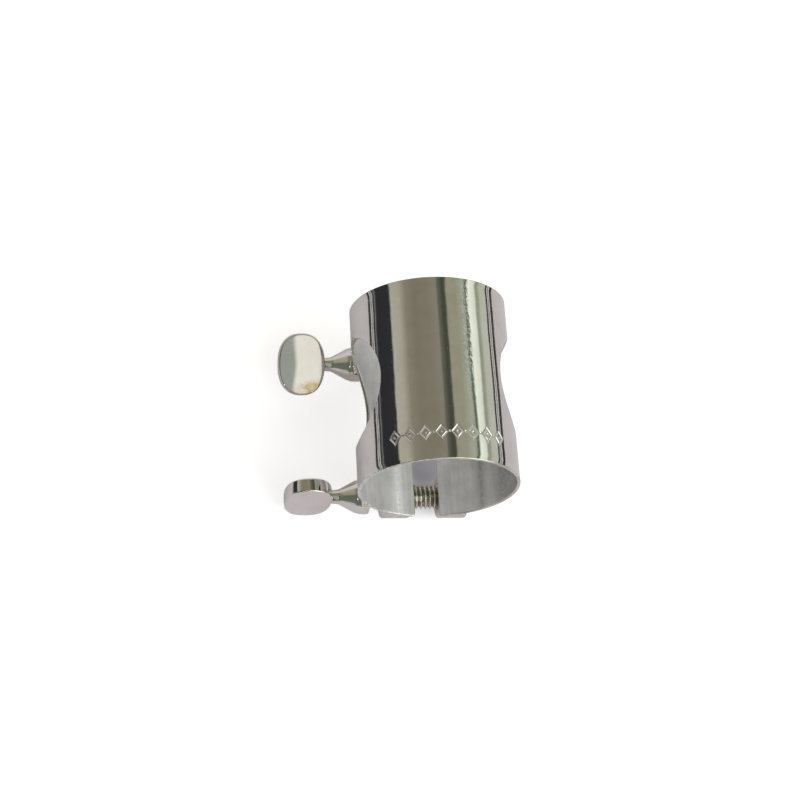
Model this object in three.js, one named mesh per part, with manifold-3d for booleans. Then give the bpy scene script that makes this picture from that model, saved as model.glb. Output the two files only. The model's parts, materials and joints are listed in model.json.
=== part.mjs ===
// Two-screw saxophone ligature: a slit metal sleeve with a round window in each side,
// two pairs of lugs beside the slit, and two thumbscrews that draw the lugs together.
// Millimetres. +Z is up, the sleeve lies along Y with its wide end towards -Y,
// the slit and the lugs are underneath, and the screws run along X with their paddles at -X.
// It lies as it does on a table: on the tip of the front paddle and on the threaded lugs.

import * as THREE from 'three';
import { mergeVertices } from 'three/addons/utils/BufferGeometryUtils.js';
import Module from 'manifold-3d';

const wasm = await Module();
wasm.setup();

// Sleeve
const SLEEVE_LENGTH = 25.2;
const WIDE_RADIUS = 10.45;      // outside, at the -Y end
const NARROW_RADIUS = 10.2;     // outside, at the +Y end
const SHEET = 0.45;
const SLIT_WIDTH = 3.2;
const WINDOW_RADIUS = 7.15;     // a true circle in the flat sheet
const WINDOW_Y = 0.5;
const SLEEVE_SEGMENTS = 96;

// Lugs, and the screw axes that run through them
const SCREW_Y = { front: -8.85, rear: 10.2 };
const SCREW_Z = -12.6;          // below the sleeve's axis
const LUG_RADIUS = 2.85;
const LUG_INNER_X = SLIT_WIDTH / 2 + 0.25;
const LUG_LENGTH = 3.85;
const LUG_CHAMFER = 0.3;
const FOOT_WIDTH = 4.5;
const FOOT_HEIGHT = 5;          // reaches past the sheet, which then cuts it
const BRAZE_GAP = 0.08;         // between a lug's saddle and the sleeve
const PLAIN_BORE = 1.85;
const THREADED_BORE = 1.73;

// Thumbscrews, along X
const ROD_RADIUS = 1.65;
const ROD_TIP_X = 6.8;
const ROD_START_X = -7.2;
const ROD_CHAMFER = 0.4;
const STEM_RADIUS = 0.55;
const STEM_BORE = 0.65;
const SHOULDER_X = -7.3;        // the face that bears on the plain lug
const SHOULDER_RADIUS = 2.3;
const SHOULDER_CHAMFER = 0.2;
const COLLAR_LENGTH = 1.5;      // the straight part beside that face
const NECK_X = -12.15;
const NECK_RADIUS = 0.95;
const NECK_LENGTH = 0.8;
const TENON_LENGTH = 1.3;       // stem inside the paddle
const PADDLE_X = -15.3;
const PADDLE_HALF_WIDTH = 3.1;
const PADDLE_HALF_HEIGHT = 4.1;
const PADDLE_THICKNESS = 2.1;
const PADDLE_BEVEL = 0.45;
const PADDLE_POWER = 2.4;       // 2 is an ellipse, more is squarer

// Segments round a turned piece, and points round a curved outline
const TURNED_SEGMENTS = 32;
const OUTLINE_POINTS = 48;

// Turn of each paddle about its screw: 0 is flat, face up
const PADDLE_TURN = { front: 88, rear: 23 };

const FRONT_TIP_Z = SCREW_Z - PADDLE_HALF_HEIGHT;
const LUG_BOTTOM_Z = SCREW_Z - LUG_RADIUS;
const LUG_OUTER_X = LUG_INNER_X + LUG_LENGTH;
const LYING_TILT = Math.atan2(LUG_BOTTOM_Z - FRONT_TIP_Z, LUG_OUTER_X - PADDLE_X);

const PLATE = { color: 0xc9c8c4, roughness: 0.12, metalness: 1 };
const RAW_LUG = { color: 0xbfbdb8, roughness: 0.2, metalness: 1 };
const SCREW = { color: 0xcac6ba, roughness: 0.15, metalness: 1 };

function toManifold(geometry) {
  const bare = geometry.clone();
  bare.deleteAttribute('normal');
  bare.deleteAttribute('uv');
  const merged = mergeVertices(bare, 1e-5);
  return new wasm.Manifold(new wasm.Mesh({
    numProp: 3,
    vertProperties: new Float32Array(merged.attributes.position.array),
    triVerts: new Uint32Array(merged.index.array),
  }));
}

function toGeometry(manifold) {
  const mesh = manifold.getMesh();
  const geometry = new THREE.BufferGeometry();
  geometry.setAttribute('position', new THREE.BufferAttribute(mesh.vertProperties, 3));
  geometry.setIndex(new THREE.BufferAttribute(mesh.triVerts, 1));
  geometry.computeVertexNormals();
  return geometry;
}

function named(name, geometry, finish) {
  const mesh = new THREE.Mesh(geometry, new THREE.MeshStandardMaterial(finish));
  mesh.name = name;
  return mesh;
}

function lathe(profile, segments) {
  return new THREE.LatheGeometry(profile.map(([r, y]) => new THREE.Vector2(r, y)), segments);
}

// A solid of revolution about the X axis, from [radius, x] pairs in rising x.
function turned(profile) {
  return lathe(profile, TURNED_SEGMENTS).rotateZ(-Math.PI / 2).rotateX(Math.PI / TURNED_SEGMENTS);
}

function rod(radius, start, end) {
  return turned([[0, start], [radius, start], [radius, end], [0, end]]);
}

function outerRadius(y) {
  return THREE.MathUtils.mapLinear(y, -SLEEVE_LENGTH / 2, SLEEVE_LENGTH / 2, WIDE_RADIUS, NARROW_RADIUS);
}

function sleeveShell() {
  const end = SLEEVE_LENGTH / 2;
  return toManifold(lathe([
    [WIDE_RADIUS - SHEET, -end],
    [WIDE_RADIUS, -end],
    [NARROW_RADIUS, end],
    [NARROW_RADIUS - SHEET, end],
    [WIDE_RADIUS - SHEET, -end],
  ], SLEEVE_SEGMENTS));
}

// Everything inside the sleeve's outer skin, grown by the braze gap, to cut the lugs' saddles.
function sleeveCore() {
  const end = SLEEVE_LENGTH / 2 + 3;
  return toManifold(lathe([
    [0, -end],
    [outerRadius(-end) + BRAZE_GAP, -end],
    [outerRadius(end) + BRAZE_GAP, end],
    [0, end],
  ], SLEEVE_SEGMENTS));
}

// The window is a circle in the flat sheet, so its outline narrows as the sheet curves away.
function windowCutter(side) {
  const middle = outerRadius(WINDOW_Y) - SHEET / 2;
  const outline = [];
  for (let i = 0; i < OUTLINE_POINTS; i += 1) {
    const turn = (i / OUTLINE_POINTS) * 2 * Math.PI;
    const arc = WINDOW_RADIUS * Math.cos(turn);
    outline.push(new THREE.Vector2(
      -middle * Math.sin(arc / middle),
      WINDOW_Y + WINDOW_RADIUS * Math.sin(turn),
    ));
  }
  const depth = WIDE_RADIUS;
  const start = WIDE_RADIUS / 2;
  const geometry = new THREE.ExtrudeGeometry(new THREE.Shape(outline), { depth, bevelEnabled: false });
  geometry.rotateY(Math.PI / 2);
  geometry.translate(side > 0 ? start : -start - depth, 0, 0);
  return toManifold(geometry);
}

function sleeveGeometry() {
  const slit = new THREE.BoxGeometry(SLIT_WIDTH, SLEEVE_LENGTH + 2, 4);
  slit.translate(0, 0, -WIDE_RADIUS);
  const solid = sleeveShell()
    .subtract(toManifold(slit))
    .subtract(windowCutter(-1))
    .subtract(windowCutter(1));
  return toGeometry(solid);
}

// A barrel with a foot, saddled to the sleeve and bored for the screw.
function lugGeometry(end, side, bore) {
  const half = LUG_LENGTH / 2;
  const barrel = turned([
    [0, -half],
    [LUG_RADIUS - LUG_CHAMFER, -half],
    [LUG_RADIUS, -half + LUG_CHAMFER],
    [LUG_RADIUS, half - LUG_CHAMFER],
    [LUG_RADIUS - LUG_CHAMFER, half],
    [0, half],
  ]);
  const foot = new THREE.BoxGeometry(LUG_LENGTH - LUG_CHAMFER, FOOT_WIDTH, FOOT_HEIGHT);
  foot.translate(0, 0, FOOT_HEIGHT / 2);
  const hole = rod(bore, -half - 1, half + 1);
  const place = [side * (LUG_INNER_X + half), SCREW_Y[end], SCREW_Z];
  const [barrelSolid, footSolid, holeSolid] = [barrel, foot, hole]
    .map((geometry) => toManifold(geometry.translate(...place)));
  return toGeometry(barrelSolid.add(footSolid).subtract(sleeveCore()).subtract(holeSolid));
}

// The stem and the threaded rod, turned as one bar. The thread's crests are at ROD_RADIUS.
function rodGeometry() {
  return turned([
    [0, NECK_X - TENON_LENGTH],
    [STEM_RADIUS, NECK_X - TENON_LENGTH],
    [STEM_RADIUS, ROD_START_X],
    [ROD_RADIUS, ROD_START_X],
    [ROD_RADIUS, ROD_TIP_X - ROD_CHAMFER],
    [ROD_RADIUS - ROD_CHAMFER, ROD_TIP_X],
    [0, ROD_TIP_X],
  ]);
}

// The tapered shoulder that bears on the plain lug, bored for the stem.
function shoulderGeometry() {
  const solid = toManifold(turned([
    [0, NECK_X],
    [NECK_RADIUS, NECK_X],
    [NECK_RADIUS, NECK_X + NECK_LENGTH],
    [SHOULDER_RADIUS, SHOULDER_X - COLLAR_LENGTH],
    [SHOULDER_RADIUS, SHOULDER_X - SHOULDER_CHAMFER],
    [SHOULDER_RADIUS - SHOULDER_CHAMFER, SHOULDER_X],
    [0, SHOULDER_X],
  ]));
  return toGeometry(solid.subtract(toManifold(rod(STEM_BORE, NECK_X - 1, SHOULDER_X + 1))));
}

// A thick oval plate in the XY plane, with a blind hole for the stem's tenon.
function paddleGeometry() {
  const outline = [];
  for (let i = 0; i < OUTLINE_POINTS; i += 1) {
    const turn = (i / OUTLINE_POINTS) * 2 * Math.PI;
    const [c, s] = [Math.cos(turn), Math.sin(turn)];
    const round = (Math.abs(c) ** PADDLE_POWER + Math.abs(s) ** PADDLE_POWER) ** (-1 / PADDLE_POWER);
    outline.push(new THREE.Vector2(
      (PADDLE_HALF_WIDTH - PADDLE_BEVEL) * round * c,
      (PADDLE_HALF_HEIGHT - PADDLE_BEVEL) * round * s,
    ));
  }
  const plate = new THREE.ExtrudeGeometry(new THREE.Shape(outline), {
    depth: PADDLE_THICKNESS - 2 * PADDLE_BEVEL,
    bevelThickness: PADDLE_BEVEL,
    bevelSize: PADDLE_BEVEL,
    bevelSegments: 3,
  });
  plate.translate(PADDLE_X, 0, PADDLE_BEVEL - PADDLE_THICKNESS / 2);
  const hole = rod(STEM_BORE, NECK_X - TENON_LENGTH - 0.1, NECK_X + 1);
  return toGeometry(toManifold(plate).subtract(toManifold(hole)));
}

function thumbscrew(end) {
  const screw = new THREE.Group();
  const paddle = named(`thumb_paddle_${end}`, paddleGeometry(), SCREW);
  paddle.rotation.x = THREE.MathUtils.degToRad(PADDLE_TURN[end]);
  screw.add(paddle);
  screw.add(named(`screw_shoulder_${end}`, shoulderGeometry(), SCREW));
  screw.add(named(`screw_rod_${end}`, rodGeometry(), SCREW));
  screw.position.set(0, SCREW_Y[end], SCREW_Z);
  return screw;
}

const ligature = new THREE.Group();
ligature.add(named('sleeve', sleeveGeometry(), PLATE));
for (const end of ['front', 'rear']) {
  ligature.add(named(`plain_lug_${end}`, lugGeometry(end, -1, PLAIN_BORE), RAW_LUG));
  ligature.add(named(`threaded_lug_${end}`, lugGeometry(end, 1, THREADED_BORE), RAW_LUG));
  ligature.add(thumbscrew(end));
}
ligature.rotation.y = LYING_TILT;

// The origin is the middle of the underside of the whole object's box.
const box = new THREE.Box3().setFromObject(ligature, true);
const middle = box.getCenter(new THREE.Vector3());
ligature.position.set(-middle.x, -middle.y, -box.min.z);
ligature.updateMatrixWorld(true);

export default ligature;
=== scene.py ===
import json
import math

import bpy
import numpy as np
from mathutils import Matrix, Vector


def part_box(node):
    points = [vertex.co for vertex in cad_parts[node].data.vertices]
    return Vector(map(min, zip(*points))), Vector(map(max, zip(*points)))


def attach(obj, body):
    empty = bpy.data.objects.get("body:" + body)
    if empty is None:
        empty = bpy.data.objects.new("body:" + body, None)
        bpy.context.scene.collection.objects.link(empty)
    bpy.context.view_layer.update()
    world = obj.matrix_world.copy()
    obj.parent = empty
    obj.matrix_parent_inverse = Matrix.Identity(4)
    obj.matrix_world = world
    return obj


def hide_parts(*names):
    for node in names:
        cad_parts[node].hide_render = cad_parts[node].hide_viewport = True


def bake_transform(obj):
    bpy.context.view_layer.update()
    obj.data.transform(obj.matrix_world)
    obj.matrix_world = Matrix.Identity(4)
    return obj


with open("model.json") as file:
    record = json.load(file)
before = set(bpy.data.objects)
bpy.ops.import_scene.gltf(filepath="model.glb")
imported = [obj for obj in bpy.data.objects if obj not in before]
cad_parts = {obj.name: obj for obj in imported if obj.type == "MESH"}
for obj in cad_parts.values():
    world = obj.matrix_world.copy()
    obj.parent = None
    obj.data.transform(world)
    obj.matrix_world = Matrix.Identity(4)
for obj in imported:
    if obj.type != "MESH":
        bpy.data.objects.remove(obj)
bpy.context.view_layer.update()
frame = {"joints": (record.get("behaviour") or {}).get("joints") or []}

# ---------------------------------------------------------------------------
# The object's own frame, in millimetres: X along the screws, Y along the sleeve,
# Z towards the crown, with its origin in the middle of the sleeve's axis.
# ---------------------------------------------------------------------------
MM = 0.001
JOINTS = {j["name"]: j for j in frame["joints"]}
ENDS = ("front", "rear")
SCREW_DROP = 12.6               # the screws' axes below the sleeve's axis

ACROSS = Vector(JOINTS["front_screw_turn"]["axis"]).normalized()
ALONG = Vector((0, 1, 0))
CROWN = ACROSS.cross(ALONG)
sleeve_low, sleeve_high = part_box("sleeve")
MIDDLE = Vector(JOINTS["front_screw_turn"]["pos_m"]) + CROWN * SCREW_DROP * MM
MIDDLE.y = (sleeve_low.y + sleeve_high.y) / 2
LEAN = math.atan2(CROWN.x, CROWN.z)
AXES = np.array([ACROSS, ALONG, CROWN]) * MM
SCREW_Y = {end: (JOINTS[f"{end}_screw_turn"]["pos_m"][1] - MIDDLE.y) / MM for end in ENDS}

# Sleeve
HALF_LENGTH = (sleeve_high.y - sleeve_low.y) / 2 / MM
WIDE_RADIUS = 10.45
NARROW_RADIUS = 10.2
SHEET = 0.45
SLIT_HALF = 1.6
WINDOW_RADIUS = 7.15
WINDOW_Y = 0.5
EDGE_ROUND = 0.11               # radius on the sheet's edges
CORNER_ROUND = 0.4              # radius of the sheet's corners at the slit
LIP_LENGTH = 0.75               # the rims are burnished outwards over this length
LIP_FLARE = 0.035
FLAT_RADIUS = (WIDE_RADIUS + NARROW_RADIUS - SHEET) / 2
SLEEVE_HALF_WIDTH = FLAT_RADIUS * (math.pi - math.asin(SLIT_HALF / FLAT_RADIUS))
WINDOW_S = FLAT_RADIUS * math.pi / 2
WINDOW_BLOCK = 7.6             # half the width of the patch that holds a window

# Dented strip, by its turn from the crown and where along the sleeve it starts, and the wide rim's burr;
# both have painted glints in their dents
DENTS_TURN = math.radians(17)
DENTS_SPREAD = math.radians(3.4)
DENTS_START = -6
BURR_LENGTH = 0.55

# Painted highlight streak, painted dark stripe and painted shade inside the sleeve, by their turn from the
# crown
HIGHLIGHT_TURN = math.radians(-158)
DARK_STRIPE_TURN = math.radians(136)
INSIDE_SPREAD = math.radians(2.6)

# Engraved row of lozenges on the crown, beside the wide rim
LOZENGE_Y = -8.9
LOZENGE_PITCH = 2.0
LOZENGE_HALF_WIDTH = 0.66
LOZENGE_HALF_HEIGHT = 0.82
ORNAMENT_HALF = 3.9 * LOZENGE_PITCH
ENGRAVED_LINE = 0.09            # half the line's width
ENGRAVED_DEPTH = 0.06

# Lugs
LUG_RADIUS = 2.85
LUG_INNER_X = 1.85
LUG_LENGTH = 3.85
FOOT_HALF = 2.25
PLAIN_BORE = 1.85
THREADED_BORE = 1.73
LUG_EDGE = 0.28                 # radius on the barrel's ends
BORE_CHAMFER = 0.15
BRAZE_DEPTH = 0.15              # how far the foot's top is sunk below the sleeve's outer skin
FOOT_FLARE = 0.55               # how much the foot widens into its braze
FLARE_START, FLARE_RISE = 2.0, 1.6
RIM_CLEARANCE = 0.1             # the foot stops this far short of the narrow rim,
FOOT_BOTTOM = 1.75              # above this height over the bore's axis

# Thumbscrews
THREAD_CREST = 1.65
THREAD_PITCH = 0.6
THREAD_DEPTH = 0.36
ROD_START, ROD_TIP = -7.2, 6.8
NECK_X, NECK_RADIUS = -12.2, 0.9
NECK_LENGTH = 0.8
SHOULDER_X, SHOULDER_RADIUS = -7.3, 2.3
COLLAR_LENGTH = 1.5
SHOULDER_EDGE = 0.22            # radius on the edge of the bearing face
PADDLE_X, PADDLE_HALF_WIDTH, PADDLE_HALF_HEIGHT = -15.3, 3.1, 4.1
PADDLE_THICKNESS = 2.1
PADDLE_EDGE, PADDLE_CROWN = 0.24, 0.08
PADDLE_POWER = 2.4              # 2 is an ellipse, more is squarer
PADDLE_TURN = {"front": math.radians(88), "rear": math.radians(23)}


def to_row(points):
    return points @ AXES + np.array(MIDDLE)


# ---------------------------------------------------------------------------
# Mesh helpers
# ---------------------------------------------------------------------------
def area_normals(points, faces):
    """A normal at each point from the faces around it, each by its area, so large faces stay flat."""
    quads = np.array([f if len(f) == 4 else (*f, f[2]) for f in faces])
    a, b, c, d = (points[quads[:, k]] for k in range(4))
    face_normal = np.cross(c - a, d - b)
    normals = np.zeros_like(points)
    for k in range(4):
        np.add.at(normals, quads[:, k], face_normal)
    length = np.linalg.norm(normals, axis=1, keepdims=True)
    return normals / np.maximum(length, 1e-12)


def add_piece(name, points, faces, materials, normals=None, face_material=None):
    """A smooth-shaded mesh object from points in the object's own frame."""
    points = np.asarray(points, float)
    if normals is None:
        normals = area_normals(points, faces)
    mesh = bpy.data.meshes.new(name)
    mesh.from_pydata(to_row(points).tolist(), [], faces)
    for material in materials:
        mesh.materials.append(material)
    mesh.polygons.foreach_set("use_smooth", [True] * len(mesh.polygons))
    if face_material is not None:
        mesh.polygons.foreach_set("material_index", face_material)
    row_normals = np.asarray(normals) @ (AXES / MM)
    mesh.normals_split_custom_set_from_vertices(row_normals.tolist())
    mesh.update()
    piece = bpy.data.objects.new(name, mesh)
    bpy.context.scene.collection.objects.link(piece)
    return piece


def add_value(piece, name, values):
    attribute = piece.data.attributes.new(name, "FLOAT", "POINT")
    attribute.data.foreach_set("value", np.asarray(values, np.float32))


def ring_faces(rings, count, closed_ends=True):
    """Quads between successive rings of count points, and a fan to a last single point at each end."""
    faces = []
    for i in range(rings - 1):
        for j in range(count):
            k = (j + 1) % count
            faces.append((i * count + j, i * count + k, (i + 1) * count + k, (i + 1) * count + j))
    if closed_ends:
        start, end = rings * count, rings * count + 1
        last = (rings - 1) * count
        for j in range(count):
            k = (j + 1) % count
            faces.append((start, k, j))
            faces.append((end, last + j, last + k))
    return faces


def turned_piece(name, profile, place, materials, count=96):
    """A solid of revolution about X, from (x, r) pairs that start and end near the axis."""
    turn = np.linspace(0, 2 * math.pi, count, endpoint=False)
    rings = [np.stack([np.full(count, x), r * np.cos(turn), r * np.sin(turn)], -1) for x, r in profile]
    points = np.concatenate(rings)
    ends = np.array([[profile[0][0], 0, 0], [profile[-1][0], 0, 0]])
    points = np.concatenate([points, ends]) + np.array(place)
    return add_piece(name, points, ring_faces(len(profile), count), materials)


def arc(centre_x, centre_r, radius, start, end, steps=6):
    """Points of an arc in a turned profile, with angles in degrees from the X direction."""
    return [
        (centre_x + radius * math.cos(math.radians(a)), centre_r + radius * math.sin(math.radians(a)))
        for a in np.linspace(start, end, steps)
    ]


# ---------------------------------------------------------------------------
# Materials
# ---------------------------------------------------------------------------
class Nodes:
    """A short way to write a node tree."""

    def __init__(self, tree):
        self.tree = tree
        tree.nodes.clear()

    def add(self, kind, inputs=None, **settings):
        node = self.tree.nodes.new(kind)
        for key, value in settings.items():
            setattr(node, key, value)
        for key, value in (inputs or {}).items():
            if isinstance(value, bpy.types.NodeSocket):
                self.tree.links.new(value, node.inputs[key])
            else:
                node.inputs[key].default_value = value
        return node

    def math(self, operation, a, b=0.0, c=0.0):
        node = self.add("ShaderNodeMath", {0: a, 1: b, 2: c}, operation=operation)
        return node.outputs[0]

    def mix(self, factor, a, b):
        node = self.add("ShaderNodeMix", {0: factor, 6: a, 7: b}, data_type="RGBA")
        return node.outputs[2]

    def ramp(self, factor, stops):
        node = self.add("ShaderNodeValToRGB", {0: factor})
        ramp = node.color_ramp
        while len(ramp.elements) < len(stops):
            ramp.elements.new(1.0)
        for element, (position, colour) in zip(ramp.elements, stops):
            element.position = position
            element.color = (*colour, 1.0)
        return node.outputs[0]

    def noise(self, vector, scale, detail=3.0, roughness=0.5):
        node = self.add("ShaderNodeTexNoise", {"Vector": vector, "Scale": scale, "Detail": detail,
                                               "Roughness": roughness})
        return node.outputs[0]

    def stretched(self, scale):
        """Object coordinates, stretched by scale along each axis, so that noise becomes streaks."""
        place = self.add("ShaderNodeTexCoord").outputs["Object"]
        return self.add("ShaderNodeMapping", {"Vector": place, "Scale": scale}).outputs[0]

    def span(self, value, low, high, to_low, to_high):
        node = self.add("ShaderNodeMapRange", {0: value, 1: low, 2: high, 3: to_low, 4: to_high})
        return node.outputs[0]


def plated_metal(name, bright, dull, roughness, scratch, wave, tarnish=None):
    """Polished plate with hairline scratches, smears of dulled plate and a faint waviness.

    Dents, with painted glints of brighter bluish-white plate in them, come where the attribute "dented" is
    above 0, and the colour tarnish where "worn" is: worn brass on the paddles, and darker roots on the
    thread.
    """
    material = bpy.data.materials.new(name)
    material.use_nodes = True
    n = Nodes(material.node_tree)
    here = n.stretched((1000, 1000, 1000))
    cloud = n.noise(here, 0.35, 4.0, 0.6)
    fine = n.noise(n.stretched((9000, 700, 9000)), 1.0, 5.0, 0.7)
    cross = n.noise(n.stretched((800, 12000, 800)), 1.0, 4.0, 0.7)
    pits = n.noise(here, 9.0, 2.0, 0.5)
    hairs = n.math("ADD", n.span(fine, 0.62, 0.72, 0.0, 0.7), n.span(cross, 0.64, 0.73, 0.0, 0.5))
    smear = n.span(cloud, 0.42, 0.68, 0.0, 1.0)
    colour = n.mix(smear, (*bright, 1.0), (*dull, 1.0))
    rough = n.math("MULTIPLY_ADD", smear, roughness * 0.9, roughness)
    rough = n.math("MULTIPLY_ADD", hairs, scratch, rough)
    if tarnish is not None:
        worn = n.add("ShaderNodeAttribute", attribute_name="worn").outputs["Fac"]
        patchy = n.math("MULTIPLY", worn, n.span(n.noise(here, 1.6, 5.0, 0.65), 0.3, 0.62, 0.25, 1.25))
        stain = n.span(patchy, 0.05, 0.95, 0.0, 1.0)
        colour = n.mix(stain, colour, (*tarnish, 1.0))
        rough = n.math("MULTIPLY_ADD", stain, 0.12, rough)
    height = n.math("MULTIPLY_ADD", n.noise(here, 0.22, 2.0, 0.4), wave, n.math("MULTIPLY", hairs, -0.02))
    height = n.math("MULTIPLY_ADD", n.span(pits, 0.7, 0.8, 0.0, 1.0), -0.015, height)
    dents_and_glints = n.add("ShaderNodeAttribute", attribute_name="dents_and_glints").outputs["Fac"]
    hammered = n.noise(here, 2.3, 1.5, 0.6)
    height = n.math("MULTIPLY_ADD", n.math("MULTIPLY", hammered, dents_and_glints), 0.38, height)
    # Painted glint: in patches of the dents the plate is coloured a brighter bluish-white.
    painted_glint = n.math("MULTIPLY", dents_and_glints, n.span(hammered, 0.48, 0.58, 0.0, 0.9))
    colour = n.mix(painted_glint, colour, (0.90, 0.97, 1.0, 1.0))
    rough = n.math("MULTIPLY_ADD", painted_glint, 0.02, rough)
    bump = n.add("ShaderNodeBump", {"Height": height, "Strength": 1.0, "Distance": 0.00006})
    shader = n.add("ShaderNodeBsdfPrincipled", {
        "Base Color": colour, "Metallic": 1.0, "Roughness": rough, "Normal": bump.outputs[0],
    })
    n.add("ShaderNodeOutputMaterial", {"Surface": shader.outputs[0]})
    return material


def satin_metal(name, bright, dull, roughness):
    """The sleeve's unpolished inside: drawn streaks along it, mottled plate, and a painted highlight and
    painted shade.

    The attribute "streak" is above 0 where a highlight is painted as white plate, and below 0 where shade
    and a dark stripe are painted dark grey.
    """
    material = bpy.data.materials.new(name)
    material.use_nodes = True
    n = Nodes(material.node_tree)
    here = n.stretched((1000, 1000, 1000))
    streak = n.noise(n.stretched((2400, 110, 2400)), 1.0, 5.0, 0.62)
    grain = n.noise(n.stretched((14000, 3500, 14000)), 1.0, 3.0, 0.6)
    cloud = n.noise(here, 0.3, 4.0, 0.6)
    shade = n.math("ADD", n.math("MULTIPLY", streak, 0.4), n.math("MULTIPLY", cloud, 0.6))
    colour = n.mix(n.span(shade, 0.38, 0.62, 0.0, 1.0), (*dull, 1.0), (*bright, 1.0))
    painted_highlight_and_shade = n.add("ShaderNodeAttribute", attribute_name="streak").outputs["Fac"]
    broken = n.math("MULTIPLY", painted_highlight_and_shade, n.span(n.noise(here, 1.8, 4.0, 0.7), 0.3, 0.7, 0.45, 1.3))
    # Painted highlight: white, hardly metallic plate where "streak" is above 0; painted shade: dark grey
    # where it is below 0.
    colour = n.mix(n.span(broken, 0.0, 1.0, 0.0, 1.0), colour, (1.0, 1.0, 1.0, 1.0))
    colour = n.mix(n.span(broken, 0.0, -1.0, 0.0, 0.62), colour, (0.16, 0.16, 0.15, 1.0))
    rough = n.span(streak, 0.3, 0.7, roughness * 0.75, roughness * 1.25)
    rough = n.math("MULTIPLY_ADD", n.span(painted_highlight_and_shade, 0.0, 1.0, 0.0, 1.0), -0.1, rough)
    height = n.math("MULTIPLY_ADD", grain, 0.5, streak)
    bump = n.add("ShaderNodeBump", {"Height": height, "Strength": 0.6, "Distance": 0.00005})
    shader = n.add("ShaderNodeBsdfPrincipled", {
        "Base Color": colour, "Metallic": n.span(broken, 0.0, 1.0, 0.62, 0.05), "Roughness": rough,
        "Normal": bump.outputs[0],
    })
    n.add("ShaderNodeOutputMaterial", {"Surface": shader.outputs[0]})
    return material


POLISHED = plated_metal("polished_plate", (0.80, 0.79, 0.77), (0.74, 0.73, 0.69), 0.03, 0.16, 0.5)
EDGE = plated_metal("sheet_edge", (0.76, 0.75, 0.68), (0.56, 0.54, 0.44), 0.16, 0.2, 0.6)
SATIN = satin_metal("satin_plate", (0.89, 0.89, 0.89), (0.68, 0.69, 0.685), 0.38)
LUG_PLATE = plated_metal("lug_plate", (0.80, 0.79, 0.77), (0.66, 0.64, 0.59), 0.07, 0.18, 0.6)
SCREW_PLATE = plated_metal("screw_plate", (0.82, 0.81, 0.77), (0.74, 0.72, 0.63), 0.06, 0.16, 0.6)
PADDLE_PLATE = plated_metal("paddle_plate", (0.84, 0.82, 0.80), (0.81, 0.78, 0.74), 0.02, 0.14, 0.02,
                            (0.52, 0.41, 0.18))
# On the thread, the colour tarnish darkens the roots.
THREAD_PLATE = plated_metal("thread_plate", (0.80, 0.79, 0.72), (0.66, 0.64, 0.54), 0.12, 0.15, 0.4,
                            (0.24, 0.225, 0.16))


# ---------------------------------------------------------------------------
# Sleeve: a flat pattern (s across, v along, w through the sheet), rolled about Y
# ---------------------------------------------------------------------------
def outer_radius(v):
    return np.interp(v, (-HALF_LENGTH, HALF_LENGTH), (WIDE_RADIUS, NARROW_RADIUS))


def lip(v):
    """How far the rims are burnished outwards, and the slope of that."""
    near = np.clip(1 - (HALF_LENGTH - np.abs(v)) / LIP_LENGTH, 0, None)
    return LIP_FLARE * near**2, 2 * LIP_FLARE * near / LIP_LENGTH * np.sign(v)


def ornament(s, v):
    """Depth of the engraving: a row of lozenges, each with a dot in it, and a dot between each two."""
    across = s - (np.floor(s / LOZENGE_PITCH) + 0.5) * LOZENGE_PITCH
    up = v - LOZENGE_Y
    inside = np.abs(across) / LOZENGE_HALF_WIDTH + np.abs(up) / LOZENGE_HALF_HEIGHT - 1
    steep = math.hypot(1 / LOZENGE_HALF_WIDTH, 1 / LOZENGE_HALF_HEIGHT)
    line = np.exp(-((inside / steep / ENGRAVED_LINE) ** 2))
    between = np.abs(across) - LOZENGE_PITCH / 2
    dots = np.exp(-((np.hypot(across, up) / (1.6 * ENGRAVED_LINE)) ** 2))
    dots += np.exp(-((np.hypot(between, up) / (1.3 * ENGRAVED_LINE)) ** 2))
    fade = np.clip((ORNAMENT_HALF - np.abs(s)) / 0.05, 0, 1)
    return -ENGRAVED_DEPTH * np.maximum(line, dots) * fade


def roll(s, v, w, out_s, out_v, out_w, engrave):
    """Points and normals in the object's frame from flat-pattern places and flat-pattern normals."""
    turn = s / FLAT_RADIUS
    flare, flare_slope = lip(v)
    depth, ds, dv = np.zeros_like(s), np.zeros_like(s), np.zeros_like(s)
    if engrave:
        step = 0.005
        depth = ornament(s, v)
        ds = (ornament(s + step, v) - ornament(s - step, v)) / (2 * step)
        dv = (ornament(s, v + step) - ornament(s, v - step)) / (2 * step)
    radius = outer_radius(v) - SHEET / 2 + w + flare + depth
    slope = flare_slope + dv + (NARROW_RADIUS - WIDE_RADIUS) / (2 * HALF_LENGTH)
    sin, cos, zero = np.sin(turn), np.cos(turn), np.zeros_like(s)
    radial = np.stack([sin, zero, cos], -1)
    tangent = np.stack([cos, zero, -sin], -1)
    along = np.stack([zero, zero + 1, zero], -1)
    points = radial * radius[:, None] + along * v[:, None]
    face = radial - along * slope[:, None] - tangent * ds[:, None]
    face /= np.linalg.norm(face, axis=1, keepdims=True)
    edge_along = along + radial * slope[:, None]
    normals = face * out_w[:, None] + tangent * out_s[:, None] + edge_along * out_v[:, None]
    normals /= np.linalg.norm(normals, axis=1, keepdims=True)
    return points, normals


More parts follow.
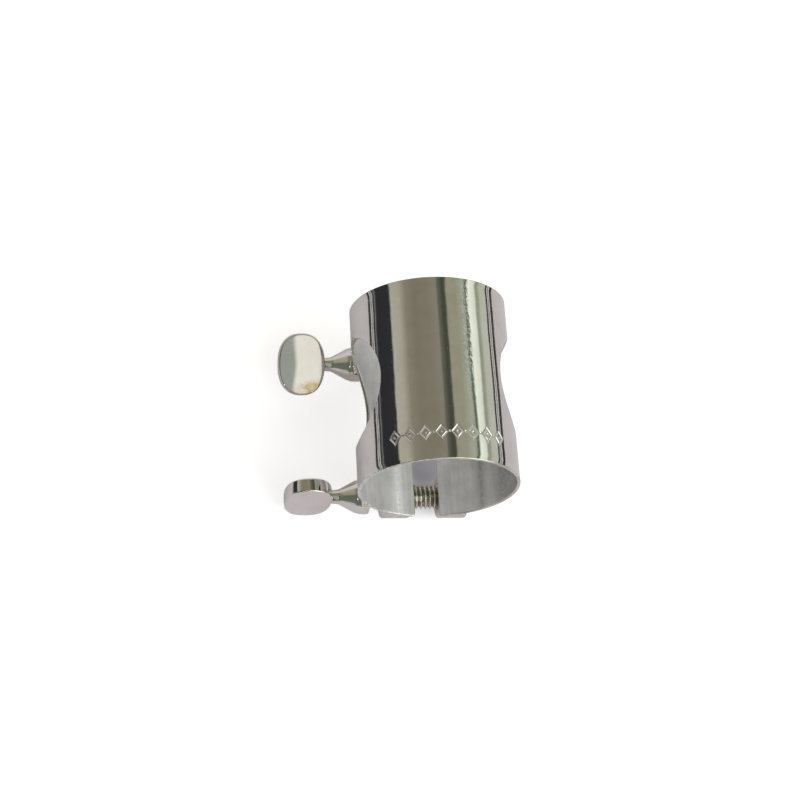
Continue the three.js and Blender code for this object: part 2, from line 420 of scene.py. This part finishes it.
def pattern_rows():
    """Places along the sleeve, from 0 at the wide rim to 1: close together at the rims and the engraving."""
    stretches = [(-HALF_LENGTH, -HALF_LENGTH + 0.9, 10), (-HALF_LENGTH + 0.9, LOZENGE_Y - 1.05, 5),
                 (LOZENGE_Y - 1.05, LOZENGE_Y + 1.05, 34), (LOZENGE_Y + 1.05, HALF_LENGTH - 0.9, 40),
                 (HALF_LENGTH - 0.9, HALF_LENGTH, 10)]
    rows = [-HALF_LENGTH]
    for low, high, steps in stretches:
        rows += list(np.linspace(low, high, steps + 1)[1:])
    return (np.array(rows) + HALF_LENGTH) / (2 * HALF_LENGTH)


def corner_cut(s):
    """How much shorter the sheet is at s, where its corners are rounded beside the slit."""
    reach = np.clip(CORNER_ROUND - (SLEEVE_HALF_WIDTH - np.abs(s)), 0, CORNER_ROUND)
    return CORNER_ROUND - np.sqrt(CORNER_ROUND**2 - reach**2)


def column(s, rows):
    """Points of one column of the flat pattern, held back from the edges by their rounding."""
    held = HALF_LENGTH - EDGE_ROUND - corner_cut(s)
    return np.stack([np.full(len(rows), s), (2 * rows - 1) * held], -1)


def plain_block(columns, rows):
    """A regular grid, indexed by column and row."""
    return np.stack([column(s, rows) for s in columns])


def window_block(side, rows, layers=16):
    """A patch with a window: rings from the window's edge out to the patch's four sides."""
    centre = side * WINDOW_S
    left, right = centre - WINDOW_BLOCK, centre + WINDOW_BLOCK
    across = np.linspace(left, right, 49)
    ends = HALF_LENGTH - EDGE_ROUND
    boundary = np.concatenate([
        column(right, rows),
        np.stack([across[::-1], np.full(49, ends)], -1)[1:],
        column(left, rows)[::-1][1:],
        np.stack([across, np.full(49, -ends)], -1)[1:-1],
    ])
    quarter = math.pi / 2
    shares = [rows * quarter - quarter / 2,
              np.linspace(quarter / 2, 1.5 * quarter, 49)[1:],
              2.5 * quarter - rows[::-1][1:] * quarter,
              np.linspace(2.5 * quarter, 3.5 * quarter, 49)[1:-1]]
    turn = np.concatenate(shares)
    hole = WINDOW_RADIUS + EDGE_ROUND
    circle = np.stack([centre + hole * np.cos(turn), WINDOW_Y + hole * np.sin(turn)], -1)
    share = (np.linspace(0, 1, layers) ** 1.25)[:, None, None]
    return circle[None] * (1 - share) + boundary[None] * share


class Pattern:
    """Collects flat-pattern points, welding those that blocks share, and their faces."""

    def __init__(self):
        self.index = {}
        self.points = []
        self.faces = []

    def point(self, place):
        key = (round(place[0], 5), round(place[1], 5))
        if key not in self.index:
            self.index[key] = len(self.points)
            self.points.append(place)
        return self.index[key]

    def grid(self, block, wrap=False):
        ids = [[self.point(place) for place in line] for line in block.tolist()]
        for i in range(len(ids) - 1):
            count = len(ids[0])
            for j in range(count if wrap else count - 1):
                k = (j + 1) % count
                self.faces.append((ids[i][j], ids[i + 1][j], ids[i + 1][k], ids[i][k]))
        return ids


def sleeve_pattern():
    pattern = Pattern()
    rows = pattern_rows()
    edge = SLEEVE_HALF_WIDTH - EDGE_ROUND
    inner, outer = WINDOW_S - WINDOW_BLOCK, WINDOW_S + WINDOW_BLOCK
    pattern.grid(plain_block(np.linspace(-inner, inner, 301), rows))
    holes = []
    near_slit = np.concatenate([np.linspace(outer, edge - 0.8, 12), np.linspace(edge - 0.8, edge, 9)[1:]])
    for side in (-1, 1):
        columns = near_slit if side > 0 else -near_slit[::-1]
        pattern.grid(plain_block(columns, rows))
        holes.append(pattern.grid(window_block(side, rows), wrap=True)[0])
    return pattern, holes


def rim_loop(faces, holes):
    """The outline's points in order, found as the boundary edges that are not in a window."""
    in_hole = {p for hole in holes for p in hole}
    used = {}
    for face in faces:
        for k in range(4):
            edge = (face[k], face[(k + 1) % 4])
            used[edge] = True
    follow = {a: b for a, b in used if (b, a) not in used and a not in in_hole}
    start = next(iter(follow))
    loop = [start]
    while follow[loop[-1]] != start:
        loop.append(follow[loop[-1]])
    return loop


def outward(loop_points, centre=None):
    """Unit normals in the flat pattern, out of the sheet, at each point of a closed loop."""
    along = np.roll(loop_points, -1, 0) - np.roll(loop_points, 1, 0)
    normal = np.stack([along[:, 1], -along[:, 0]], -1)
    normal /= np.linalg.norm(normal, axis=1, keepdims=True)
    reference = loop_points - loop_points.mean(0)
    if (normal * reference).sum() < 0:
        normal = -normal
    return normal if centre is None else -normal


def mark_sleeve(piece, turn, along):
    """Where the sheet has dents with painted glints, and a burr at the wide rim, and where a highlight and
    shade are painted inside.
    """
    fade = np.clip((along - DENTS_START) / -DENTS_START, 0, 1)
    strip = np.exp(-(((turn - DENTS_TURN) / DENTS_SPREAD) ** 2)) * fade
    rim = np.clip(1 - (HALF_LENGTH + along) / BURR_LENGTH, 0, 1)
    burr = rim * np.clip(-turn / math.radians(20), 0, 1)
    add_value(piece, "dents_and_glints", np.maximum(strip, 0.8 * burr))
    # Painted highlight streak (bright), painted dark stripe (dull), and painted shade over the side from 60
    # degrees up towards the dark stripe (side).
    bright = np.exp(-(((turn - HIGHLIGHT_TURN) / (1.3 * INSIDE_SPREAD)) ** 2))
    dull = np.exp(-(((turn - DARK_STRIPE_TURN) / INSIDE_SPREAD) ** 2))
    side = np.clip((DARK_STRIPE_TURN - math.radians(8) - turn) / math.radians(12), 0, 1)
    side *= turn > math.radians(60)
    add_value(piece, "streak", bright - 0.75 * dull - 0.7 * side)


def build_sleeve():
    pattern, holes = sleeve_pattern()
    flat = np.array(pattern.points)
    count = len(flat)
    faces = [tuple(f) for f in pattern.faces]
    signed = [np.cross(flat[f[1]] - flat[f[0]], flat[f[2]] - flat[f[0]]) for f in faces]
    faces = [f if turn > 0 else f[::-1] for f, turn in zip(faces, signed)]
    one, zero = np.ones(count), np.zeros(count)
    half = SHEET / 2
    parts = [roll(flat[:, 0], flat[:, 1], half * one, zero, zero, one, True),
             roll(flat[:, 0], flat[:, 1], -half * one, zero, zero, -one, False)]
    all_faces = [f[::-1] for f in faces] + [tuple(p + count for p in f) for f in faces]
    kinds = [0] * len(faces) + [1] * len(faces)
    total = 2 * count
    loops = [(rim_loop(faces, holes), None)] + [(hole, True) for hole in holes]
    turns = list(np.radians([22.5, 45, 67.5, 90])) + list(np.radians([90, 112.5, 135, 157.5]))
    for loop, centre in loops:
        place = flat[loop]
        normal = outward(place, centre)
        size = len(loop)
        levels = [np.array(loop)]
        for turn in turns:
            reach = place + normal * EDGE_ROUND * math.sin(turn)
            level_w = math.copysign(half - EDGE_ROUND * (1 - abs(math.cos(turn))), math.cos(turn))
            # The second level at 90 degrees is on the inner side of the edge's flat.
            if len(levels) == 5:
                level_w = EDGE_ROUND - half
            ones = np.ones(size)
            parts.append(roll(reach[:, 0], reach[:, 1], level_w * ones, normal[:, 0] * math.sin(turn),
                              normal[:, 1] * math.sin(turn), math.cos(turn) * ones, False))
            levels.append(np.arange(total, total + size))
            total += size
        levels.append(np.array(loop) + count)
        for upper, lower in zip(levels, levels[1:]):
            for j in range(size):
                k = (j + 1) % size
                all_faces.append((int(upper[j]), int(lower[j]), int(lower[k]), int(upper[k])))
                kinds.append(2)
    points = np.concatenate([p for p, _ in parts])
    normals = np.concatenate([q for _, q in parts])
    # Each face is turned to look the way its points' normals do.
    quads = np.array(all_faces)
    a, b, c, d = (points[quads[:, k]] for k in range(4))
    looks = np.cross(c - a, d - b)
    mean = normals[quads].sum(1)
    backwards = (looks * mean).sum(1) < 0
    all_faces = [f[::-1] if turn else f for f, turn in zip(all_faces, backwards)]
    piece = add_piece("sleeve_sheet", points, all_faces, [POLISHED, SATIN, EDGE], normals, kinds)
    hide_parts("sleeve")
    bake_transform(piece)
    turn = np.arctan2(points[:, 0], points[:, 2])
    mark_sleeve(piece, turn, points[:, 1])


# ---------------------------------------------------------------------------
# Lugs
# ---------------------------------------------------------------------------
def lug_outline(count):
    """Reach from the bore's axis at each angle: a barrel below, and a foot that flares into its braze."""
    turn = np.linspace(0, 2 * math.pi, count, endpoint=False)
    reach = np.full(count, LUG_RADIUS)
    c, s = np.cos(turn), np.sin(turn)
    steps = np.linspace(0, 6, 400)
    for j in range(count):
        if s[j] <= 0.05:
            continue
        y, z = np.abs(steps * c[j]), steps * s[j]
        half = FOOT_HALF + FOOT_FLARE * np.clip((z - FLARE_START) / FLARE_RISE, 0, 1) ** 2
        inside = (steps <= LUG_RADIUS) | (y <= half)
        reach[j] = steps[inside & (z < 5)].max()
    kernel = np.array([1, 2, 3, 2, 1]) / 9
    padded = np.concatenate([reach[-2:], reach, reach[:2]])
    return turn, np.convolve(padded, kernel, "valid")


def build_lug(end, kind):
    side = -1 if kind == "plain" else 1
    bore = PLAIN_BORE if kind == "plain" else THREADED_BORE
    count = 192
    turn, reach = lug_outline(count)
    c, s = np.cos(turn), np.sin(turn)
    half, edge = LUG_LENGTH / 2, LUG_EDGE
    curve = np.radians(np.linspace(0, 90, 6))
    sections = [(-half + edge * (1 - math.cos(a)), edge * (1 - math.sin(a))) for a in curve]
    middle = [(x, 0.0) for x in np.linspace(-half + edge, half - edge, 14)[1:-1]]
    sections += middle + [(-x, inset) for x, inset in sections[::-1]]
    centre_x = side * (LUG_INNER_X + half)
    rings = []
    for x, inset in sections:
        r = reach - inset
        y, z = r * c, r * s
        room = HALF_LENGTH - RIM_CLEARANCE - SCREW_Y[end]
        y = np.where(z > FOOT_BOTTOM, np.minimum(y, room), y)
        at = centre_x + x
        skin = outer_radius(SCREW_Y[end] + y) - BRAZE_DEPTH
        top = SCREW_DROP - np.sqrt(np.maximum(skin**2 - at**2, 1))
        shrink = np.where(z > top, top / np.maximum(z, 1e-6), 1.0)
        rings.append(np.stack([np.full(count, x), y * shrink, z * shrink], -1))
    mouth, flat = bore + BORE_CHAMFER, half - BORE_CHAMFER
    bore_rings = [(half, mouth), (flat, bore), (-flat, bore), (-half, mouth)]
    for x, r in bore_rings:
        rings.append(np.stack([np.full(count, x), r * c, r * s], -1))
    points = np.concatenate(rings)
    faces = ring_faces(len(rings), count, closed_ends=False)
    last = (len(rings) - 1) * count
    for j in range(count):
        k = (j + 1) % count
        faces.append((last + j, last + k, k, j))
    points = points + np.array([centre_x, SCREW_Y[end], -SCREW_DROP])
    faces = [f[::-1] for f in faces]
    piece = add_piece(f"{kind}_lug_barrel_{end}", points, faces, [LUG_PLATE])
    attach(piece, "sleeve_and_plain_lugs" if kind == "plain" else "threaded_lugs")
    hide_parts(f"{kind}_lug_{end}")


# ---------------------------------------------------------------------------
# Thumbscrews
# ---------------------------------------------------------------------------
def build_shoulder(end):
    """Neck, taper and bearing collar."""
    collar = SHOULDER_X - COLLAR_LENGTH
    profile = [(NECK_X - 0.06, 0.3), (NECK_X - 0.06, NECK_RADIUS - 0.15), (NECK_X + 0.05, NECK_RADIUS)]
    taper_start = NECK_X + NECK_LENGTH
    ease = 0.12
    for share in np.linspace(0, 1, 30):
        radius = NECK_RADIUS + (SHOULDER_RADIUS - NECK_RADIUS) * share
        rounding = ease * max(0.0, 1 - abs(1 - share) / 0.2) ** 2
        rounding -= 0.05 * max(0.0, 1 - share / 0.15) ** 2
        profile.append((taper_start + (collar - taper_start) * share, radius - rounding))
    profile += [(collar + 0.3 * k, SHOULDER_RADIUS - ease * (1 - k / 2) ** 3) for k in (0.5, 1, 1.5, 2)]
    profile += arc(SHOULDER_X - SHOULDER_EDGE, SHOULDER_RADIUS - SHOULDER_EDGE, SHOULDER_EDGE, 90, 0)
    profile += [(SHOULDER_X, 1.2), (SHOULDER_X, 0.3)]
    piece = turned_piece(f"shoulder_{end}", profile, (0, SCREW_Y[end], -SCREW_DROP), [SCREW_PLATE])
    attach(piece, f"{end}_shoulder")
    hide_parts(f"screw_shoulder_{end}")


def build_rod(end):
    """Threaded rod, with the helix cut by the pitch, run out at the shoulder and chamfered at the tip."""
    count, step = 72, THREAD_PITCH / 14
    turn = np.linspace(0, 2 * math.pi, count, endpoint=False)
    xs = np.arange(ROD_START + 0.02, ROD_TIP, step)
    rings, root_darkening = [], []
    for x in xs:
        phase = np.mod(x / THREAD_PITCH - turn / (2 * math.pi), 1.0)
        flank = np.clip((np.abs(phase - 0.5) - 0.09) / 0.33, 0, 1)
        radius = THREAD_CREST - THREAD_DEPTH * (1 - flank)
        # The colour is darker towards the thread's roots; it goes in as "worn".
        root_darkening.append(np.clip(1.25 - 1.9 * flank, 0, 1))
        run_out = min(1.0, max(0.0, (x - ROD_START - 0.3) / 0.5))
        radius = (THREAD_CREST - 0.25) * (1 - run_out) + radius * run_out
        chamfer = THREAD_CREST - max(0.0, x - (ROD_TIP - 0.45))
        radius = np.minimum(radius, chamfer)
        rings.append(np.stack([np.full(count, x), radius * np.cos(turn), radius * np.sin(turn)], -1))
    ends = np.array([[xs[0], 0, 0], [xs[-1] + 0.04, 0, 0]])
    points = np.concatenate(rings + [ends]) + np.array([0, SCREW_Y[end], -SCREW_DROP])
    piece = add_piece(f"threaded_rod_{end}", points, ring_faces(len(xs), count), [THREAD_PLATE])
    add_value(piece, "worn", np.concatenate(root_darkening + [np.zeros(2)]))
    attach(piece, f"{end}_thumbscrew")
    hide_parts(f"screw_rod_{end}")


def build_paddle(end):
    """A thick oval plate with a crisp worn edge and slightly crowned faces."""
    count = 144
    turn = np.linspace(0, 2 * math.pi, count, endpoint=False)
    c, s = np.cos(turn), np.sin(turn)
    round_off = (np.abs(c) ** PADDLE_POWER + np.abs(s) ** PADDLE_POWER) ** (-1 / PADDLE_POWER)
    outline = np.stack([PADDLE_HALF_WIDTH * round_off * c, PADDLE_HALF_HEIGHT * round_off * s], -1)
    normal = outward(outline)
    half, edge, crown = PADDLE_THICKNESS / 2, PADDLE_EDGE, PADDLE_CROWN
    levels = []
    for share in np.linspace(0.04, 1, 22):
        levels.append(((outline - normal * edge) * share, half - crown * share**2, share * 0.5))
    for a in np.radians(np.linspace(12, 90, 8)):
        height = half - crown - edge * (1 - math.cos(a))
        levels.append((outline - normal * edge * (1 - math.sin(a)), height, 1.0))
    belly = [(outline + normal * 0.05, 0.0, 0.85)]
    mirrored = [(place, -height, wear) for place, height, wear in levels[::-1]]
    levels = levels + belly + mirrored
    rings = [np.column_stack([place, np.full(count, height)]) for place, height, _ in levels]
    points = np.concatenate(rings + [np.array([[0, 0, half], [0, 0, -half]])])
    wear = np.concatenate([np.full(count, w) for _, _, w in levels] + [np.zeros(2)])
    stain_at = np.array([1.7, -3.3, half])
    stain_size = np.array([1.9, 0.95, 1.5])
    stain = np.exp(-(np.linalg.norm((points - stain_at) / stain_size, axis=1) ** 2))
    rim_wear, stain_depth = (0.55, 1.1) if end == "rear" else (0.25, 0.0)
    worn = np.clip((wear - 0.45) * rim_wear + stain_depth * stain, 0, 1)
    angle = PADDLE_TURN[end]
    y = points[:, 1] * math.cos(angle) - points[:, 2] * math.sin(angle)
    z = points[:, 1] * math.sin(angle) + points[:, 2] * math.cos(angle)
    points = np.stack([points[:, 0] + PADDLE_X, y + SCREW_Y[end], z - SCREW_DROP], -1)
    faces = [f[::-1] for f in ring_faces(len(rings), count)]
    piece = add_piece(f"paddle_{end}", points, faces, [PADDLE_PLATE])
    add_value(piece, "worn", worn)
    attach(piece, f"{end}_thumbscrew")
    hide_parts(f"thumb_paddle_{end}")


build_sleeve()
for end in ENDS:
    build_lug(end, "plain")
    build_lug(end, "threaded")
    build_shoulder(end)
    build_rod(end)
    build_paddle(end)


# ---------------------------------------------------------------------------
# Floor, studio, camera
# ---------------------------------------------------------------------------
FLOOR_HALF = 1.5
FLOOR_GLOW = 0.16               # the floor's own even light
FLOOR_LIFT = 0.46               # how much more of it the camera sees
PAINTED_SHADE_HALF_WIDTH = 0.005        # the painted shade beneath the sleeve
PAINTED_SHADE_HALF_LENGTH = 0.0095


def build_floor():
    """A pale floor, which the plate mirrors with dark bands across it, as of flags and table edges."""
    mesh = bpy.data.meshes.new("floor")
    corners = [(x * FLOOR_HALF, y * FLOOR_HALF, 0) for x, y in ((-1, -1), (1, -1), (1, 1), (-1, 1))]
    mesh.from_pydata(corners, [], [(0, 1, 2, 3)])
    floor = bpy.data.objects.new("floor", mesh)
    bpy.context.scene.collection.objects.link(floor)
    material = bpy.data.materials.new("pale_floor")
    material.use_nodes = True
    n = Nodes(material.node_tree)
    place = n.add("ShaderNodeTexCoord").outputs["Object"]
    across, along, _ = n.add("ShaderNodeSeparateXYZ", {0: place}).outputs
    # Painted shade: beneath the sleeve the floor's own light dies away and its colour darkens to a lavender
    # grey.
    near_x = n.math("MULTIPLY", n.math("SUBTRACT", across, MIDDLE.x), 1 / PAINTED_SHADE_HALF_WIDTH)
    near_y = n.math("MULTIPLY", along, 1 / PAINTED_SHADE_HALF_LENGTH)
    squares = n.math("ADD", n.math("MULTIPLY", near_x, near_x), n.math("MULTIPLY", near_y, near_y))
    reach = n.math("SQRT", squares)
    outside_painted_shade = n.span(reach, 0.6, 1.3, 0.1, 1.0)
    flags = n.ramp(n.math("ABSOLUTE", across), [
        (0.0, (0.80, 0.75, 0.80)),
        (0.090, (0.74, 0.70, 0.74)),
        (0.094, (0.05, 0.05, 0.05)),
        (0.136, (0.05, 0.05, 0.05)),
        (0.142, (0.85, 0.82, 0.85)),
        (0.172, (0.85, 0.82, 0.85)),
        (0.180, (0.12, 0.12, 0.12)),
        (0.210, (0.12, 0.12, 0.12)),
        (0.220, (0.80, 0.77, 0.80)),
        (0.300, (0.80, 0.77, 0.80)),
        (0.320, (0.06, 0.06, 0.06)),
    ])
    seen = n.add("ShaderNodeLightPath").outputs["Is Camera Ray"]
    plain = n.mix(n.noise(place, 40.0, 2.0), (0.985, 0.98, 0.99, 1), (1.0, 0.995, 1.0, 1))
    # Painted shade: lavender grey beneath the sleeve.
    plain = n.mix(outside_painted_shade, (0.50, 0.49, 0.56, 1), plain)
    colour = n.mix(seen, flags, plain)
    strength = n.math("MULTIPLY", outside_painted_shade, n.math("MULTIPLY_ADD", seen, FLOOR_LIFT, FLOOR_GLOW))
    shader = n.add("ShaderNodeBsdfPrincipled", {
        "Base Color": colour, "Roughness": 0.8, "Specular IOR Level": 0.0,
        "Emission Color": colour, "Emission Strength": strength,
    })
    n.add("ShaderNodeOutputMaterial", {"Surface": shader.outputs[0]})
    mesh.materials.append(material)


# What the plate mirrors, by the angle in degrees about +Y from straight up, towards +X: beyond the
# object, and on the viewer's side.
AWAY_BANDS = [
    (-91, (0.30, 0.29, 0.29)),
    (-88, (0.030, 0.030, 0.036)),
    (-63, (0.034, 0.035, 0.040)),
    (-61, (0.50, 0.48, 0.43)),
    (-48, (0.46, 0.43, 0.35)),
    (-38, (0.28, 0.26, 0.20)),
    (-25, (0.245, 0.22, 0.165)),
    (-5, (0.25, 0.23, 0.175)),
    (8, (0.28, 0.26, 0.21)),
    (10, (0.15, 0.145, 0.11)),
    (17, (0.068, 0.074, 0.055)),
    (21, (0.08, 0.085, 0.065)),
    (23, (0.36, 0.35, 0.27)),
    (37, (0.36, 0.35, 0.25)),
    (48, (0.43, 0.46, 0.38)),
    (52, (0.40, 0.43, 0.35)),
    (54, (0.13, 0.15, 0.10)),
    (57, (0.15, 0.17, 0.12)),
    (58.5, (1.0, 1.05, 0.92)),
    (69, (0.80, 0.84, 0.72)),
    (71, (0.32, 0.35, 0.27)),
    (75, (0.36, 0.38, 0.30)),
    (79, (0.55, 0.57, 0.48)),
    (90, (0.58, 0.58, 0.53)),
]
NEAR_BANDS = [
    (-95, (0.60, 0.58, 0.60)),
    (-80, (0.55, 0.55, 0.55)),
    (-72, (0.16, 0.18, 0.15)),
    (-18, (0.12, 0.135, 0.11)),
    (-12, (0.38, 0.41, 0.38)),
    (9.0, (0.34, 0.37, 0.34)),
    (9.25, (0.92, 0.90, 0.82)),
    (17, (0.88, 0.86, 0.79)),
    (21, (0.46, 0.46, 0.43)),
    (38, (0.40, 0.40, 0.36)),
    (41, (0.66, 0.65, 0.62)),
    (58, (0.60, 0.59, 0.57)),
    (62, (0.20, 0.21, 0.18)),
    (80, (0.50, 0.50, 0.49)),
]


# The wall beyond the object, within about 45 degrees of +Y
FAR_WALL = (0.66, 0.63, 0.66, 1.0)


def build_world():
    """The room that the plate mirrors, as bands of light. The camera itself sees plain white."""
    world = bpy.data.worlds.new("studio")
    bpy.context.scene.world = world
    world.use_nodes = True
    n = Nodes(world.node_tree)
    direction = n.add("ShaderNodeTexCoord").outputs["Generated"]
    parts = n.add("ShaderNodeSeparateXYZ", {0: direction})
    turn = n.math("ARCTAN2", parts.outputs[0], parts.outputs[2])
    share = n.span(turn, -math.pi, math.pi, 0.0, 1.0)
    away, near = (n.ramp(share, [(0.5 + degrees / 360, light) for degrees, light in bands])
                  for bands in (AWAY_BANDS, NEAR_BANDS))
    bands = n.mix(n.span(parts.outputs[1], -0.12, 0.12, 0.0, 1.0), near, away)
    bands = n.mix(n.span(parts.outputs[1], 0.62, 0.72, 0.0, 1.0), bands, FAR_WALL)
    seen = n.add("ShaderNodeLightPath").outputs["Is Camera Ray"]
    colour = n.mix(seen, bands, (1.0, 1.0, 1.0, 1.0))
    background = n.add("ShaderNodeBackground", {"Color": colour, "Strength": 1.0})
    n.add("ShaderNodeOutputWorld", {"Surface": background.outputs[0]})


def add_light(name, place, size, power):
    data = bpy.data.lights.new(name, "AREA")
    data.shape = "DISK"
    data.size = size
    data.energy = power
    light = bpy.data.objects.new(name, data)
    bpy.context.scene.collection.objects.link(light)
    light.location = Vector(place)
    towards = Vector((0, 0, 0.01)) - light.location
    light.rotation_euler = towards.to_track_quat("-Z", "Y").to_euler()


VIEW_ELEVATION = math.radians(67.3)
VIEW_ROLL = math.radians(-3.69)
CROWN_TO_VIEW = math.radians(9.7)   # the crown is turned this far to the view's right
VIEW_DISTANCE = 0.4
FOCAL_WIDTHS = 3.853                # focal length over frame width
VIEW_AIM = (-4.286, -0.372)         # aim, right and up of the sleeve's middle, in millimetres
SENSOR = 36.0


def build_camera():
    sway = Matrix.Rotation(LEAN - CROWN_TO_VIEW, 3, "Y")
    forward = Vector((0, math.cos(VIEW_ELEVATION), -math.sin(VIEW_ELEVATION)))
    right = Vector((1, 0, 0))
    up = right.cross(forward)
    aim = right * VIEW_AIM[0] * MM + up * VIEW_AIM[1] * MM
    aim.y += 0.4 * MM
    turned_right = right * math.cos(VIEW_ROLL) + up * math.sin(VIEW_ROLL)
    turned_up = up * math.cos(VIEW_ROLL) - right * math.sin(VIEW_ROLL)
    place = MIDDLE + sway @ (aim - forward * VIEW_DISTANCE)
    axes = Matrix([sway @ turned_right, sway @ turned_up, sway @ -forward]).transposed()
    data = bpy.data.cameras.new("camera")
    data.sensor_width = SENSOR
    data.lens = FOCAL_WIDTHS * SENSOR
    data.clip_start = 0.01
    camera = bpy.data.objects.new("camera", data)
    bpy.context.scene.collection.objects.link(camera)
    camera.matrix_world = Matrix.Translation(place) @ axes.to_4x4()
    bpy.context.scene.camera = camera


build_floor()
build_world()
add_light("soft_light", (0.9, -0.6, 0.75), 1.5, 9)
add_light("sparkle_light", (-0.3, -0.6, 0.75), 0.05, 0.12)
build_camera()
bpy.context.scene.view_settings.view_transform = "Standard"
